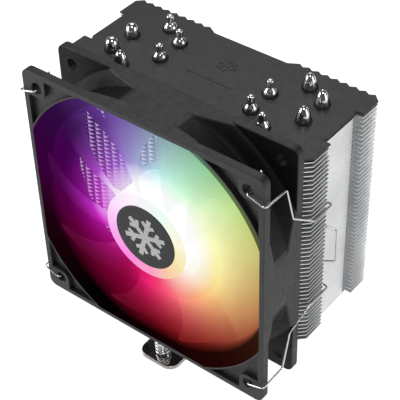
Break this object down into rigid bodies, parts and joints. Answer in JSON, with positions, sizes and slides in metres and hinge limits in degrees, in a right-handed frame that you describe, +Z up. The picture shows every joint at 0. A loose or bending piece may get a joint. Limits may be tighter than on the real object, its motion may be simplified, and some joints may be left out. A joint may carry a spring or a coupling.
{
  "type": "cpu tower cooler",
  "caption": "Single-tower processor heatsink with heat pipes through a fin stack and a lit fan held by two wire clips.",
  "frame": {"origin": "centre of the cold plate's bottom face, which rests on the processor", "axes": "+Z up through the tower, +X to the right seen from the fan, +Y from the fan to the back of the fins"},
  "size_m": [0.131, 0.0967, 0.1462],
  "materials": {
    "nickel": "bright nickel plating on copper",
    "aluminium": "plain sheet aluminium",
    "black_plate": "satin black coating",
    "dark_nickel": "dark bright nickel",
    "steel": "bright zinc plated steel",
    "black_plastic": "fine-grained matte black",
    "milky_plastic": "translucent milky plastic, lit from the hub",
    "badge": "smooth dark disc",
    "magnet": "bonded ferrite",
    "copper_wire": "enamelled copper winding",
    "brass": "turned bearing metal",
    "circuit_board": "green solder mask",
    "led": "lit chip",
    "label": "blank foil sticker",
    "cable": "black cable sleeve"
  },
  "bodies": {
    "heatsink": {"cold_plate": "nickel", "base_cap": "aluminium", "heat_pipe_1": "nickel", "heat_pipe_2": "nickel", "heat_pipe_3": "nickel", "heat_pipe_4": "nickel", "heat_pipe_5": "nickel", "heat_pipe_6": "nickel", "fin_stack": "aluminium", "top_plate": "black_plate", "mounting_bar": "dark_nickel", "front_bar_screw": "steel", "rear_bar_screw": "steel", "front_spring": "steel", "rear_spring": "steel"},
    "front_washer": {"front_spring_washer": "steel"},
    "front_screw": {"front_spring_screw": "steel", "front_screw_retainer": "steel"},
    "rear_washer": {"rear_spring_washer": "steel"},
    "rear_screw": {"rear_spring_screw": "steel", "rear_screw_retainer": "steel"},
    "fan_housing": {"fan_frame": "black_plastic", "bearing_sleeve": "brass", "stator_core": "steel", "stator_coil_1": "copper_wire", "stator_coil_2": "copper_wire", "stator_coil_3": "copper_wire", "stator_coil_4": "copper_wire", "circuit_board": "circuit_board", "led_1": "led", "led_2": "led", "led_3": "led", "led_4": "led", "led_5": "led", "led_6": "led", "motor_label": "label", "fan_cable": "cable", "fan_plug": "black_plastic", "lighting_cable": "cable", "lighting_plug": "black_plastic"},
    "rotor": {"impeller": "milky_plastic", "hub_badge": "badge", "rotor_yoke": "steel", "rotor_magnet": "magnet", "rotor_shaft": "steel", "shaft_retainer": "black_plastic"},
    "left_clip": {"left_clip": "steel"},
    "right_clip": {"right_clip": "steel"}
  },
  "joints": [
    {"name": "front_screw_travel", "type": "slide", "parent": "heatsink", "child": "front_washer", "axis": [0, 0, 1], "range_m": [-0.0028, 0], "stiffness_N_per_m": 2000, "springref_m": 0.001, "deforming": ["front_spring"]},
    {"name": "front_screw_turn", "type": "hinge", "parent": "front_washer", "child": "front_screw", "pos_m": [0, -0.041, 0.015], "axis": [0, 0, 1], "continuous": true},
    {"name": "rear_screw_travel", "type": "slide", "parent": "heatsink", "child": "rear_washer", "axis": [0, 0, 1], "range_m": [-0.0028, 0], "stiffness_N_per_m": 2000, "springref_m": 0.001, "deforming": ["rear_spring"]},
    {"name": "rear_screw_turn", "type": "hinge", "parent": "rear_washer", "child": "rear_screw", "pos_m": [0, 0.041, 0.015], "axis": [0, 0, 1], "continuous": true},
    {"name": "fan_height", "type": "slide", "parent": "heatsink", "child": "fan_housing", "axis": [0, 0, 1], "range_m": [0, 0.015]},
    {"name": "fan_spin", "type": "hinge", "parent": "fan_housing", "child": "rotor", "pos_m": [0, -0.0357, 0.0858], "axis": [0, 1, 0], "continuous": true},
    {"name": "left_clip_release", "type": "hinge", "parent": "fan_housing", "child": "left_clip", "pos_m": [-0.0526, -0.0462, 0.0858], "axis": [0, 0, 1], "range_deg": [0, 18]},
    {"name": "right_clip_release", "type": "hinge", "parent": "fan_housing", "child": "right_clip", "pos_m": [0.0526, -0.0462, 0.0858], "axis": [0, 0, 1], "range_deg": [-18, 0]}
  ]
}
